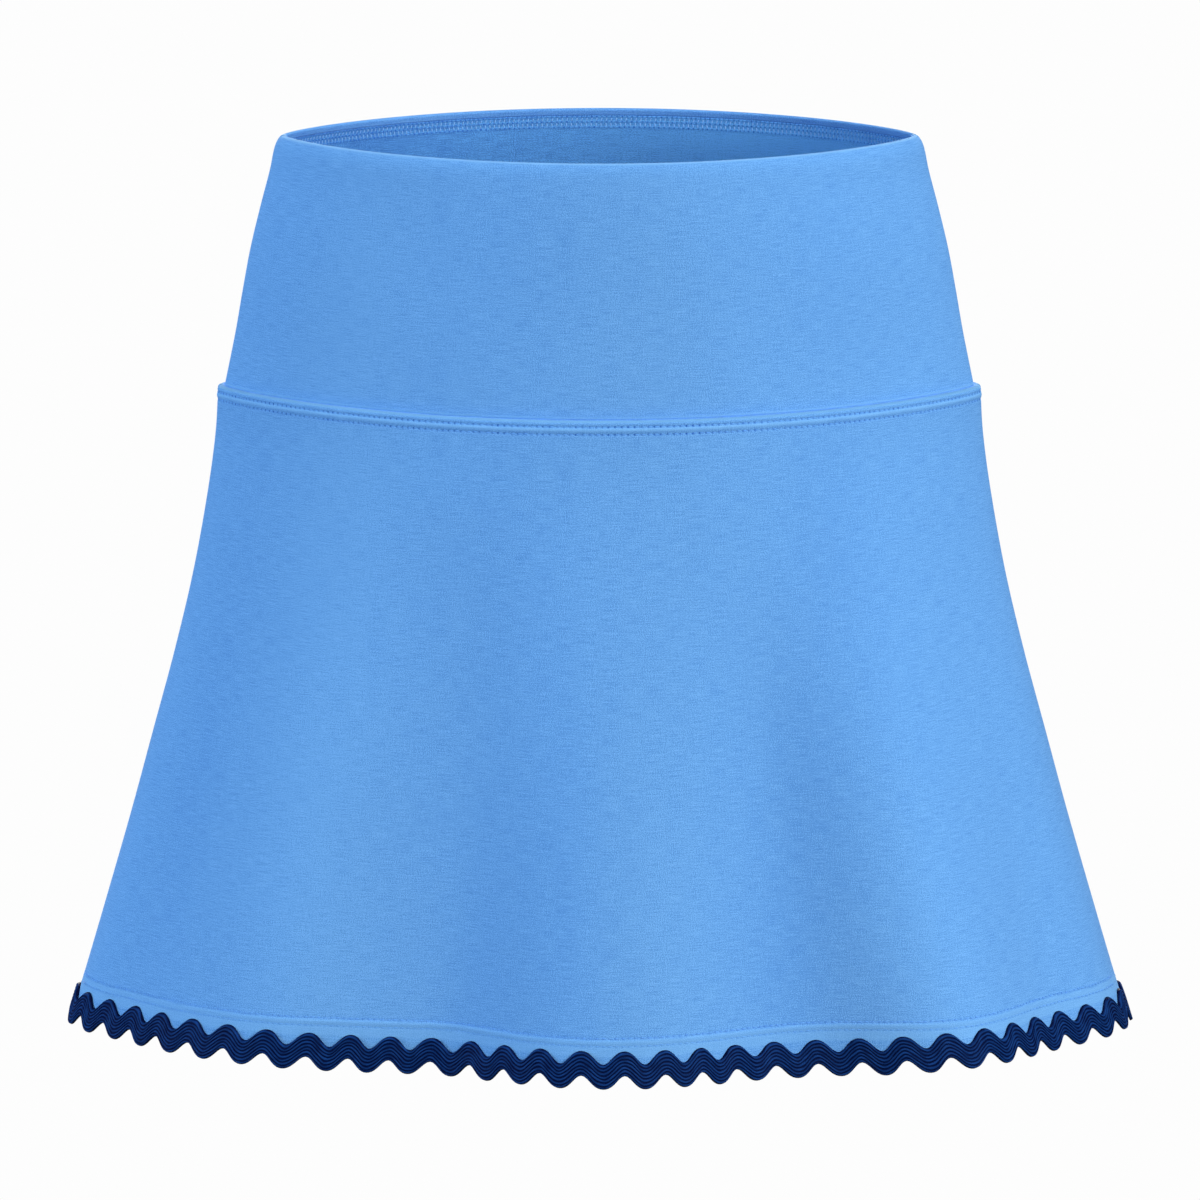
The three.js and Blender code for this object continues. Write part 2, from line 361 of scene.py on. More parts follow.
def lay_cloth(name, panel, angles, profile, thickness, relief=None, inward=False):
    """A sheet from side seam to side seam, and the lengths along it of its rows. They follow the
    profile, a list of (inset, down) from its first edge to its last, and its UV map is the flat
    cloth in metres."""
    inset, down = np.array(profile).T
    turned = (panel["facing"] > 0) != inward
    piece, col, row = add_grid(name, len(angles), len(down), turned)
    grid_angle, grid_down = np.meshgrid(angles, down)
    grid_inset = np.broadcast_to(inset[:, None], grid_angle.shape)
    groove = side_groove(grid_angle, panel, grid_down)
    if relief is not None:
        grid_inset = grid_inset - relief(grid_angle, grid_down, np.arange(len(down))[:, None])
    points = cloth_point(panel, grid_angle, grid_down, grid_inset + (0 if inward else groove))
    close_sides(panel, points)
    across = np.linalg.norm(np.diff(points, axis=1), axis=2)
    across = np.concatenate([np.zeros((len(down), 1)), np.cumsum(across, axis=1)], axis=1)
    across = across - np.array([[np.interp(0, angles, line)] for line in across])
    along = np.linalg.norm(np.diff(points[:, len(angles) // 2], axis=0), axis=1)
    along = -np.concatenate([[0], np.cumsum(along)])
    uv = np.stack([across, np.broadcast_to(along[:, None], across.shape)], -1)
    # Painted shade and painted light of the panel, kept in the shade attribute
    shade = soft_spots(panel["shades"], grid_angle, grid_down)
    lay_grid(piece, points[row, col], uv[row, col], thickness, shade=shade[row, col])
    return piece, along


def sheet_area(piece):
    """Half of a closed sheet's surface, in square metres."""
    mesh = piece.data
    areas = np.empty(len(mesh.polygons))
    mesh.polygons.foreach_get("area", areas)
    return areas.sum() / 2


def hold(piece, node, material, stretch, trims=()):
    """Gives a sheet and its trims their material and their body, and hides the solid it stands for.
    It works out the flat cut it was made from, narrower by how far the cloth is stretched on the
    body, but keeps it nowhere."""
    for part in (piece, *trims):
        part.data.materials.append(material)
        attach(part, "root")
    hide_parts(node)
    uv = np.empty(len(piece.data.loops) * 2)
    piece.data.uv_layers["cloth"].data.foreach_get("uv", uv)
    wide, long = np.ptp(uv.reshape(-1, 2), axis=0)
    area = sum(sheet_area(part) for part in (piece, *trims)) / stretch
    flat = (float(wide) / stretch, float(long))
    area = float(min(area, flat[0] * flat[1]))


def run_down(first, last, step):
    """Heights from first to last at most a step apart, both included."""
    return np.linspace(first, last, max(int(math.ceil(abs(last - first) / step)), 1) + 1)


# Streaks, specks and clouds of the knit: width and height in millimetres, detail, and place
LEVEL_STREAKS = (9.0, 0.36, 1.0, 0.0)
UPRIGHT_STREAKS = (0.45, 7.0, 1.0, 3.0)
GRAIN_SPECKS = (0.42, 0.34, 0.0, 7.0)
SOFT_CLOUDS = (22.0, 18.0, 1.0, 11.0)
HOLE_STRAYING = (7.0, 30.0, 0.0, 17.0)
HOLE_FAINTNESS = (4.0, 30.0, 0.0, 23.0)
# How strongly each shows in the colour
KNIT_LEVEL = 1.1
KNIT_UPRIGHT = 0.5
KNIT_GRAIN = 2.15
KNIT_CLOUD = 0.05
# How strongly the painted shade and painted light of the shade attribute show
KNIT_SHADE = 1.64
# How far each raises the surface, as shares of the relief in millimetres
KNIT_RELIEF = 0.12
LEVEL_RAISED = 0.8
UPRIGHT_RAISED = 0.6
GRAIN_RAISED = 1.2
# Needle holes: colour, straying in millimetres, soft edge in radii, and how they fade
KNIT_HOLE = (0.018, 0.125, 0.6, 1)
HOLE_WANDER = 1.3
HOLE_CORE = 0.6
HOLE_RIM = 1.3
HOLE_FADING = 1.2
HOLE_LEVEL = 0.95
WELT_CORE = 0.5
TOPSTITCH_PITCH = 2.65
KNIT_LIGHT = (0.19, 0.482, 0.99, 1)
KNIT_DARK = (0.073, 0.257, 0.73, 1)
# Colours of painted highlight on the rolled edge and the welts, and of painted light at the band's seam,
# which offsets the shade of its crevice
HIGHLIGHT_PALE = (0.2, 0.49, 0.96, 1)
BAND_SEAM_LIGHT_PALE = (0.2, 0.48, 0.88, 1)


def knit_finish(name, light, dark, rows=(), pitch=TOPSTITCH_PITCH, painted_light_bands=()):
    """Matte heathered knit: fine level streaks and fainter upright ones, in two near blues. Rows of
    needle holes are (place along the cloth's length in metres, shift in mm, radius, darkness), and
    bands of painted highlight on each welt and painted light at the seams are (place, reach in mm,
    share, colour). The shade attribute adds painted shade and painted light to the tone."""
    knit = Finish(bpy.data.materials.new(name))
    place = knit.node("ShaderNodeUVMap", {"uv_map": "cloth"})
    along = knit.node("ShaderNodeSeparateXYZ", None, {0: place}, 0) * (1 / MM)
    up = knit.node("ShaderNodeSeparateXYZ", None, {0: place}, 1) * (1 / MM)

    def streaks(wide, tall, detail, shift):
        spot = knit.node("ShaderNodeCombineXYZ", None, {0: along / wide, 1: up / tall, 2: shift})
        sockets = {"Vector": spot, "Scale": 1.0, "Detail": detail, "Roughness": 0.6}
        return knit.node("ShaderNodeTexNoise", None, sockets) - 0.5

    level = streaks(*LEVEL_STREAKS)
    upright = streaks(*UPRIGHT_STREAKS)
    grain = streaks(*GRAIN_SPECKS)
    cloud = streaks(*SOFT_CLOUDS)
    wander = streaks(*HOLE_STRAYING)
    faint = streaks(*HOLE_FAINTNESS)
    # The shade attribute carries painted shade and painted light into the knit's tone
    shade = knit.node("ShaderNodeAttribute", {"attribute_name": "shade"}, None, 2)
    tone = level * KNIT_LEVEL + upright * KNIT_UPRIGHT + grain * KNIT_GRAIN + cloud * KNIT_CLOUD
    tone = tone + shade * KNIT_SHADE + 0.5
    colour = knit.mix(tone, dark, light)
    # Bands of painted highlight and painted light, mixed over the knit
    for middle, reach, strength, pale in painted_light_bands:
        over = up - middle / MM
        sockets = {"Value": (over * over) ** 0.5, 1: reach * WELT_CORE, 2: reach, 3: strength, 4: 0.0}
        mask = knit.node("ShaderNodeMapRange", {"clamp": True}, sockets)
        colour = knit.mix(mask, colour, pale)
    holes = None
    for row, shift, radius, strength in rows:
        strayed = along - shift + wander * HOLE_WANDER
        step = knit.node("ShaderNodeMath", {"operation": "FRACT"}, {0: strayed / pitch})
        side = (step - 0.5) * pitch
        over = up - row / MM
        far = (side * side + over * over) ** 0.5
        sockets = {"Value": far, 1: radius * HOLE_CORE, 2: radius * HOLE_RIM, 3: strength, 4: 0.0}
        mask = knit.node("ShaderNodeMapRange", {"clamp": True}, sockets)
        mask = mask * (faint * HOLE_FADING + HOLE_LEVEL)
        holes = mask if holes is None else holes + mask
    if holes is not None:
        colour = knit.mix(holes, colour, KNIT_HOLE)
    height = level * LEVEL_RAISED + upright * UPRIGHT_RAISED + grain * GRAIN_RAISED
    sockets = {"Height": height, "Strength": 0.4, "Distance": KNIT_RELIEF * MM}
    bump = knit.node("ShaderNodeBump", None, sockets)
    shader = knit.node("ShaderNodeBsdfPrincipled", None, {
        "Base Color": colour, "Normal": bump, "Roughness": 0.85, "Specular IOR Level": 0.1,
        "Sheen Weight": 0.08, "Sheen Roughness": 0.4, "Sheen Tint": (0.75, 0.87, 1, 1)})
    knit.node("ShaderNodeOutputMaterial", None, {"Surface": shader})
    return knit.holder


BAND_STRETCH = 1.04
LIP_GAP = 0.12
ROLL_STEPS = 11
# Rows are closer on the lip and below the rolled edge than further down
LIP_ROWS = 0.6
BAND_FINE_ROWS = 0.8
BAND_FINE_DOWN = 8
BAND_ROWS = 2.4
# The lower edge is tucked in behind the skirt: insets and heights of its last rows
BAND_TUCK = ((0.12, BAND_DEPTH - 0.3), (1.2, BAND_DEPTH + 0.3))
# Columns are evenly spaced at one height, and closer or wider elsewhere
BAND_COLUMNS = 2.4
BAND_EVEN_DOWN = 50
band_front = {"sections": BAND_SECTIONS, "folds": NO_FOLDS, "dents": BAND_DENTS,
              "shades": BAND_PAINTED_SHADE, "facing": -1}
band_back = {**band_front, "facing": 1}
roll = [(ROLL_RADIUS * (1 - math.cos(t)), ROLL_RADIUS * (1 - math.sin(t)))
        for t in np.linspace(math.pi, 0, ROLL_STEPS)]
band_profile = [(SHELL, down) for down in run_down(LIP_DOWN + LIP_GAP, ROLL_RADIUS, LIP_ROWS)[:-1]]
band_profile += roll
band_profile += [(0, down) for down in run_down(ROLL_RADIUS, BAND_FINE_DOWN, BAND_FINE_ROWS)[1:]]
band_profile += [(0, down) for down in run_down(BAND_FINE_DOWN, BAND_DEPTH - 1, BAND_ROWS)[1:]]
band_profile += BAND_TUCK
# A painted highlight runs along the rolled edge, a little in front of its crest, and painted light
# along the seam offsets its crevice's shade. Each has its reach in millimetres, share and colour
RIM_AHEAD = 0.7
RIM_HIGHLIGHT = (0.8, 0.75, HIGHLIGHT_PALE)
BAND_SEAM_LIGHT = (1.5, 0.55, BAND_SEAM_LIGHT_PALE)
rim_line = -(LIP_DOWN + LIP_GAP - ROLL_RADIUS + ROLL_RADIUS * QUARTER + RIM_AHEAD) * MM
for panel, side in ((band_front, "front"), (band_back, "back")):
    angles = panel_columns(panel, BAND_EVEN_DOWN, BAND_COLUMNS)
    piece, along = lay_cloth(f"waistband_{side}_cloth", panel, angles, band_profile, CLOTH_SHOWN)
    # Painted highlight on the rim, and painted light at the seam
    band_painted_light = [(rim_line, *RIM_HIGHLIGHT), (float(along[-2]), *BAND_SEAM_LIGHT)]
    band_knit = knit_finish(f"band_{side}_knit", KNIT_LIGHT, KNIT_DARK, painted_light_bands=band_painted_light)
    hold(piece, f"waistband_{side}", band_knit, BAND_STRETCH)

# Facing. The same knit lines the waistband from just below the rolled edge to the waist seam.
# It shows inside the open waist, and the two layers are joined there by a coverstitch.
# The facing's knit is painted darker and bluer than the outer knit, as painted shade inside the waist.
# Its spots paint more shade on the left and painted light on the right
FACING_SHADED_LIGHT = (0.153, 0.49, 1.0, 1)
FACING_SHADED_DARK = (0.05, 0.185, 0.57, 1)
FACING_PAINTED_SHADE = np.array([
    (-55, 10, -0.19, 30, 80),
    (35, 10, 0.21, 30, 80),
], dtype=DENT)
COVER_ROWS = (3.6, 5.8, 8.1)
COVER_PITCH = 2.1
COVER_SLANT = 0.9
COVER_HOLE = 0.42
COVER_DARKNESS = 0.8
COVER_PULL = 0.22
COVER_REACH = 0.5
FACING_TOP = LIP_DOWN + 0.16
FACING_END = BAND_DEPTH - 0.6
FACING_FINE_ROWS = 0.36
FACING_FINE_DOWN = 10
FACING_ROWS = 3
FACING_COLUMNS = 3


def facing_relief(angle, down, row):
    """The facing is drawn in along each row of the coverstitch."""
    return -COVER_PULL * sum(ridge(down - sewn, COVER_REACH) for sewn in COVER_ROWS)


facing_downs = run_down(FACING_TOP, FACING_FINE_DOWN, FACING_FINE_ROWS)
lower_downs = run_down(FACING_FINE_DOWN, FACING_END, FACING_ROWS)[1:]
facing_downs = np.concatenate([facing_downs, lower_downs])
facing_profile = [(SHELL, down) for down in facing_downs]
for panel, side in ((band_front, "front"), ({**band_back, "shades": FACING_PAINTED_SHADE}, "back")):
    angles = panel_columns(panel, BAND_EVEN_DOWN, FACING_COLUMNS)
    piece, along = lay_cloth(f"facing_{side}_cloth", panel, angles, facing_profile, CLOTH_SHOWN,
                             facing_relief, inward=True)
    cover_holes = [(float(np.interp(line, facing_downs, along)), shift, COVER_HOLE, COVER_DARKNESS)
                   for line, shift in zip(COVER_ROWS, (0, 0, COVER_SLANT))]
    facing_knit = knit_finish(f"facing_{side}_knit", FACING_SHADED_LIGHT, FACING_SHADED_DARK,
                              cover_holes, COVER_PITCH)
    hold(piece, f"facing_{side}", facing_knit, BAND_STRETCH)

# Skirt. Two flared panels of the same knit hang from the waist seam, where they are rolled over
# the seam allowances and topstitched twice. The flare falls in a few soft folds to a turned-up hem.
SKIRT_SECTIONS = np.array([
    (BAND_DEPTH, 157, 105, 115.5, 1.66),
    (122, 158, 106.5, 118, 1.62),
    (147, 161.3, 108.8, 121, 1.55),
    (181, 167.5, 111.8, 125.5, 1.46),
    (214, 175.3, 114.6, 129.5, 1.37),
    (247, 184.2, 117.2, 133, 1.29),
    (281, 193.4, 119.6, 136.5, 1.22),
    (314, 202.9, 121.8, 139.5, 1.16),
    (347, 212.6, 123.6, 142, 1.11),
    (HEM_DOWN, 217.8, 124.4, 143, 1.1),
], dtype=SECTION)
FRONT_FOLDS = np.array([
    (-66, -3.5, 10, 128),
    (-17, -9, 6.5, 130),
    (1, 25, 13, 122),
    (41, 15, 15, 122),
    (60, -4, 10, 140),
], dtype=FOLD)
BACK_FOLDS = np.array([
    (-57, 8, 12, 130),
    (-34, -7, 9, 140),
    (-10, 15, 13, 122),
    (12, -10, 9, 126),
    (33, 16, 12, 122),
    (62, -4, 11, 140),
], dtype=FOLD)
# Soft creases between the folds, which only the cloth shows
FRONT_CREASES = np.array([
    (-41, 3, 9, 130),
    (-27, -4, 8, 120),
    (12, 2, 6, 120),
    (26, -4.5, 8, 120),
    (41, 3, 8, 120),
], dtype=FOLD)
BACK_CREASES = np.array([
    (-45, -3, 9, 140),
    (-22, 3, 8, 125),
    (1, -4, 9, 130),
    (22, 3, 8, 120),
    (47, -3, 8, 150),
], dtype=FOLD)
SKIRT_DENTS = np.array([
    (-45, 150, -0.5, 4, 24),
    (-24, 138, 0.5, 4, 20),
    (-8, 146, -0.4, 3, 22),
    (15, 140, 0.5, 4, 24),
    (30, 152, -0.5, 4, 22),
    (52, 142, 0.5, 4, 20),
    (-32, 240, 0.9, 5, 50),
    (22, 250, -0.9, 5, 60),
    (57, 270, 0.8, 5, 50),
], dtype=DENT)
SKIRT_TOP = BAND_DEPTH - SEAM_GAP
TOPSTITCH_ROWS = (SKIRT_TOP + 2.6, SKIRT_TOP + 5.7)
ALLOWANCE_DEPTH = 10
ALLOWANCE_INSET = 5.2
HEM_TURN = 14.0
HEM_ROWS = (348.1, 351.3)
HEM_EDGE = HEM_DOWN - 1.1
# Where the allowance bends over to the shoulder: inset, and depth below the skirt's top
ALLOWANCE_BEND = ((4.9, 0.5), (4.2, 0.15), (3.4, 0))
# The rolled shoulder of the waist seam: depth below the skirt's top, and inset
SHOULDER = np.array([(0, 1.9), (0.12, 1.25), (0.4, 0.6), (0.85, 0.2), (1.5, 0), (6, 0)])
# Colour of the painted light along the top of the waist seam, which offsets the deep blue shade of its
# crevice
SEAM_TOP_LIGHT_PALE = (0.165, 0.4, 0.69, 1)
# Height and reach of what the sewing raises or draws in, in millimetres, and where the two
# welts have their crests: between the rows of topstitching, and above the first
WELT_BETWEEN = (0.34, 1.0)
BETWEEN_CREST = TOPSTITCH_ROWS[0] * 0.6 + TOPSTITCH_ROWS[1] * 0.4
WELT_ABOVE = (0.2, 0.9)
ABOVE_CREST = SKIRT_TOP + 1.2
WELT_SEWN = (0.2, 0.42)
HEM_STEP = (0.28, 1.0)
HEM_PUFF = (0.15, 1.0)
HEM_PRICK = (0.1, 0.4)
SIDE_FLATNESS = 0.1
# Needle holes: height, radius and darkness of each row
NEEDLE_ROWS = (
    (TOPSTITCH_ROWS[0], 0.48, 0.85),
    (TOPSTITCH_ROWS[1], 0.48, 0.85),
    (HEM_ROWS[0], 0.36, 0.6),
    (HEM_ROWS[1], 0.34, 0.42),
)
# Bands of painted light at the seam's top and painted highlight on each welt: height, reach, share and
# colour of each
PAINTED_LIGHT_ROWS = (
    (SKIRT_TOP + 0.3, 1.3, 0.6, SEAM_TOP_LIGHT_PALE),
    (TOPSTITCH_ROWS[0] + 1.1, 1.0, 0.45, HIGHLIGHT_PALE),
    (HEM_ROWS[0] + 2.0, 1.6, 0.37, HIGHLIGHT_PALE),
    (HEM_ROWS[1] + 2.2, 2.6, 0.4, HIGHLIGHT_PALE),
)


def skirt_relief(angle, down, row):
    """The welts of the topstitching, and the slight step and puff of the hem's two rows."""
    outside = (row > skirt_inner_rows) & (row < skirt_outer_rows)
    welt = WELT_BETWEEN[0] * ridge(down - BETWEEN_CREST, WELT_BETWEEN[1])
    welt = welt + WELT_ABOVE[0] * ridge(down - ABOVE_CREST, WELT_ABOVE[1])
    welt = welt - WELT_SEWN[0] * sum(ridge(down - line, WELT_SEWN[1]) for line in TOPSTITCH_ROWS)
    step = HEM_STEP[0] * np.clip((down - HEM_ROWS[0]) / HEM_STEP[1], 0, 1)
    puff = HEM_PUFF[0] * ridge(down - sum(HEM_ROWS) / 2, HEM_PUFF[1])
    pricked = HEM_PRICK[0] * sum(ridge(down - line, HEM_PRICK[1]) for line in HEM_ROWS)
    flattened = np.clip(QUARTER - np.abs(angle), SIDE_FLATNESS, 1)
    return np.where(outside, welt + (step + puff - pricked) * flattened, 0)


EDGE_RADIUS = 1
EDGE_STEPS = 7
TURNED_INSET = 2.0
TURNED_ROWS = 2
ALLOWANCE_ROWS = 1.5
# Rows of the outer cloth: from, to and spacing in millimetres. They are closest over the
# topstitching, where they are counted from the skirt's top, and at the two rows of the hem
SHOULDER_ROWS = ((0, 1, 0.2), (1, 8, 0.28))
OUTER_ROWS = (
    (SKIRT_TOP + 8, SKIRT_TOP + 14, 0.8),
    (SKIRT_TOP + 14, 345, 3.1),
    (345, 354, 0.42),
    (354, HEM_EDGE - EDGE_RADIUS, 1.6),
)
allowance_downs = run_down(SKIRT_TOP + ALLOWANCE_DEPTH, SKIRT_TOP + 1.2, ALLOWANCE_ROWS)
skirt_profile = [(ALLOWANCE_INSET, down) for down in allowance_downs]
skirt_profile += [(inset, SKIRT_TOP + depth) for inset, depth in ALLOWANCE_BEND]
skirt_inner_rows = len(skirt_profile) - 1
shoulder_top, shoulder_foot = SHOULDER_ROWS
for depth in np.concatenate([run_down(*shoulder_top), run_down(*shoulder_foot)[1:]]):
    skirt_profile.append((float(np.interp(depth, *SHOULDER.T)), SKIRT_TOP + depth))
for first, last, spacing in OUTER_ROWS:
    skirt_profile += [(0, down) for down in run_down(first, last, spacing)[1:]]
skirt_outer_rows = len(skirt_profile)
for t in np.linspace(0, math.pi, EDGE_STEPS)[1:]:
    skirt_profile.append((EDGE_RADIUS * (1 - math.cos(t)), HEM_EDGE - EDGE_RADIUS * (1 - math.sin(t))))
turned_downs = run_down(HEM_EDGE - EDGE_RADIUS, HEM_DOWN - HEM_TURN, TURNED_ROWS)[1:]
skirt_profile += [(TURNED_INSET, down) for down in turned_downs]
# Painted shade and painted light on the skirt panels: spots where the knit is painted darker on the
# folds' shaded flanks and lighter on their lit ones, with the share in place of the depth
FRONT_PAINTED_SHADE = np.array([
    (-40, 130, 0.07, 12, 60),
    (-38, 250, 0.1, 11, 75),
    (-31, 345, 0.08, 10, 50),
    (-64, 260, -0.05, 8, 90),
    (-14, 150, -0.04, 8, 60),
    (-5, 290, -0.06, 5, 90),
    (8, 310, 0.04, 5, 60),
    (36, 160, -0.06, 8, 60),
    (28, 250, -0.1, 7, 60),
    (23, 330, -0.09, 6, 60),
    (40, 330, 0.04, 6, 60),
], dtype=DENT)
BACK_PAINTED_SHADE = np.array([
    (-56, 260, 0.06, 9, 90),
    (-35, 270, -0.07, 7, 80),
    (-12, 260, 0.07, 9, 90),
    (10, 290, -0.07, 7, 80),
    (34, 260, 0.07, 9, 90),
    (60, 280, -0.05, 8, 80),
], dtype=DENT)
skirt_front = {"sections": SKIRT_SECTIONS, "folds": np.concatenate([FRONT_FOLDS, FRONT_CREASES]),
               "dents": SKIRT_DENTS, "shades": FRONT_PAINTED_SHADE, "facing": -1}
skirt_back = {"sections": SKIRT_SECTIONS, "folds": np.concatenate([BACK_FOLDS, BACK_CREASES]),
              "dents": SKIRT_DENTS, "shades": BACK_PAINTED_SHADE, "facing": 1}
SIDE_ALLOWANCE = 7.0
SIDE_STRIP_TOP = SKIRT_TOP + 12
SIDE_STRIP_END = HEM_DOWN - HEM_TURN + 4
SIDE_STRIP_THICKNESS = 1.3
SIDE_STRIP_GAP = 0.25
SIDE_STRIP_WAVE = 1.3
SIDE_STRIP_START = 0.4
SIDE_STRIP_COLUMNS = 7
SIDE_STRIP_ROWS = 4
# Where the knit's pattern on the strips starts, in metres from the middle of the cloth
SIDE_STRIP_FLAT = 0.3


def turn_outward():
    """Turns the faces of the active piece outwards."""
    bpy.ops.object.mode_set(mode="EDIT")
    bpy.ops.mesh.select_all(action="SELECT")
    bpy.ops.mesh.normals_make_consistent(inside=False)
    bpy.ops.object.mode_set(mode="OBJECT")


def at_distance(panel, down, distances):
    """Angles at given distances from the left side seam, in millimetres, along one height."""
    return np.interp(distances, run_along(panel, down), FINE)


def side_strip(name, panel, end):
    """The side seam's allowance, pressed to the back panel on its inside."""
    downs = run_down(SIDE_STRIP_TOP, SIDE_STRIP_END, SIDE_STRIP_ROWS)
    reach = np.linspace(SIDE_STRIP_START, SIDE_ALLOWANCE, SIDE_STRIP_COLUMNS)
    strip, col, row = add_grid(name, len(reach), len(downs))
    inset = CLOTH_SHOWN + SIDE_STRIP_GAP * (1 + np.sin(reach * SIDE_STRIP_WAVE))
    points = []
    for down in downs:
        angles = at_distance(panel, down, reach) * -end
        points.append(cloth_point(panel, angles, down, inset))
    points = np.array(points)
    uv = np.stack([end * (SIDE_STRIP_FLAT - reach[col] * MM), -downs[row] * MM], -1)
    offset = 1 if end < 0 else -1
    lay_grid(strip, points[row, col], uv, SIDE_STRIP_THICKNESS, offset, np.zeros(len(row)))
    turn_outward()
    return strip


SKIRT_COLUMNS = 2.7
SKIRT_EVEN_DOWN = 300
for panel, side in ((skirt_front, "front"), (skirt_back, "back")):
    angles = panel_columns(panel, SKIRT_EVEN_DOWN, SKIRT_COLUMNS)
    piece, along = lay_cloth(f"skirt_{side}_cloth", panel, angles, skirt_profile, CLOTH_SHOWN,
                             skirt_relief)
    strips = []
    if side == "back":
        strips = [side_strip(f"side_allowance_{hip}", panel, end)
                  for hip, end in (("left", -1), ("right", 1))]
    outer = slice(skirt_inner_rows + 1, skirt_outer_rows)
    outer_downs = np.array(skirt_profile)[outer, 1]
    skirt_holes = [(float(np.interp(line, outer_downs, along[outer])), 0, radius, strength)
                   for line, radius, strength in NEEDLE_ROWS]
    # Bands of painted light at the seam and painted highlight on each welt
    painted_light_bands = [(float(np.interp(line, outer_downs, along[outer])), reach, share, pale)
             for line, reach, share, pale in PAINTED_LIGHT_ROWS]
    skirt_knit = knit_finish(f"skirt_{side}_knit", KNIT_LIGHT, KNIT_DARK, skirt_holes, painted_light_bands=painted_light_bands)
    hold(piece, f"skirt_{side}", skirt_knit, 1.0, strips)

# Rickrack. A flat woven braid that swings up and down, of seven corded ribs that follow the
# swing, sewn on over the hem so that its lower crests hang past the edge of the cloth.
BRAID_DOWN = 361.0
BRAID_WIDTH = 9.9
BRAID_THICKNESS = 1.4
BRAID_SWING = 2.7
BRAID_ROUNDING = 0.12
BRAID_RIBS = 7
BRAID_WAVES = {"front": 31.5, "back": 32.5}
# How far the sewn waves stray from even spacing, in waves, at shares of the way across
BRAID_DRIFT = np.array([
    (0, 0), (0.03, 0.2), (0.13, 0.18), (0.2, 0.27), (0.27, 0.28), (0.34, 0.1), (0.4, 0.17),
    (0.5, 0.11), (0.55, 0), (0.6, -0.2), (0.65, -0.15), (0.78, -0.15), (0.87, 0), (1, 0),
])
# How far the braid was sewn below its even line, in millimetres, at shares of the way across
BRAID_DROP = np.array([
    (0, 0), (0.2, 0.2), (0.27, 1.2), (0.36, 1.6), (0.4, 0.8), (0.43, 0), (0.49, -0.4), (0.55, 0),
    (0.62, 0.8), (0.66, 1.7), (0.71, 1.2), (0.745, 0), (0.78, -0.7), (0.81, -0.4), (0.84, 0.3),
    (0.88, 1.3), (0.92, 1.2), (1, 0.7),
])
STEPS_PER_WAVE = 16
POINTS_PER_RIB = 5
BRAID_LIFT = 0.45
BRAID_SHOWN = 0.7
RIB_HEIGHT = 0.45
RIB_FLATNESS = 0.7
CORD_SHARPNESS = 2.2
SELVEDGE = 0.8
# Colours of the painted shade in the furrows between the cords, and of the painted highlight on the
# cords
BRAID_FURROW_SHADE = (0.0004, 0.003, 0.036, 1)
BRAID_CORD_HIGHLIGHT = (0.007, 0.046, 0.22, 1)
# What varies in the satin: length along the braid in millimetres, count across it, and place
CORD_STRAYING = (3.5, 3.0, 9.0)
SATIN_GRAIN = (0.5, 24.0, 0.0)
# Patches where the cords' painted highlight is stronger or weaker
HIGHLIGHT_PATCHES = (5.0, 7.0, 0.0)
# Half turns of the fine twill for each millimetre along the braid, and across it
TWILL_SLANT = (2.2, 18.0)
# How strongly each shows
CORD_WANDER = 0.7
HIGHLIGHT_PATCH_SHARE = 1.5
HIGHLIGHT_FLOOR = 0.1
GRAIN_SHARE = 0.7
TWILL_SHARE = 0.5
SATIN_RELIEF = 0.12


def braid_finish():
    """Navy satin braid: the cords are painted lighter, as painted highlight, and the furrows
    between them darker, as painted shade.
    """
    satin = Finish(bpy.data.materials.new("braid_satin"))
    place = satin.node("ShaderNodeUVMap", {"uv_map": "cloth"})
    along = satin.node("ShaderNodeSeparateXYZ", None, {0: place}, 0) * (1 / MM)
    across = satin.node("ShaderNodeSeparateXYZ", None, {0: place}, 1)

    def specks(length, count, shift, detail):
        spot = satin.node("ShaderNodeCombineXYZ", None, {0: along / length, 1: across * count, 2: shift})
        return satin.node("ShaderNodeTexNoise", None, {"Vector": spot, "Scale": 1.0, "Detail": detail})

    stray = specks(*CORD_STRAYING, 0.0) - 0.5
    grain = specks(*SATIN_GRAIN, 2.0) - 0.5
    highlight_patches = specks(*HIGHLIGHT_PATCHES, 1.0)
    turn = (across * BRAID_RIBS + stray * CORD_WANDER) * math.pi
    cord = satin.node("ShaderNodeMath", {"operation": "SINE"}, {0: turn})
    cord = satin.node("ShaderNodeMath", {"operation": "ABSOLUTE"}, {0: cord})
    # Painted highlight on the cords, stronger in patches, over painted shade in the furrows
    tone = cord ** CORD_SHARPNESS * (highlight_patches * HIGHLIGHT_PATCH_SHARE + HIGHLIGHT_FLOOR) + grain * GRAIN_SHARE
    colour = satin.mix(tone, BRAID_FURROW_SHADE, BRAID_CORD_HIGHLIGHT)
    slant = along * TWILL_SLANT[0] + across * TWILL_SLANT[1]
    twill = satin.node("ShaderNodeMath", {"operation": "SINE"}, {0: slant * math.pi})
    raised = twill * TWILL_SHARE + grain
    sockets = {"Height": raised, "Strength": 0.4, "Distance": SATIN_RELIEF * MM}
    bump = satin.node("ShaderNodeBump", None, sockets)
    shader = satin.node("ShaderNodeBsdfPrincipled", None, {
        "Base Color": colour, "Normal": bump, "Roughness": 0.5, "Specular IOR Level": 0.025})
    satin.node("ShaderNodeOutputMaterial", None, {"Surface": shader})
    return satin.holder


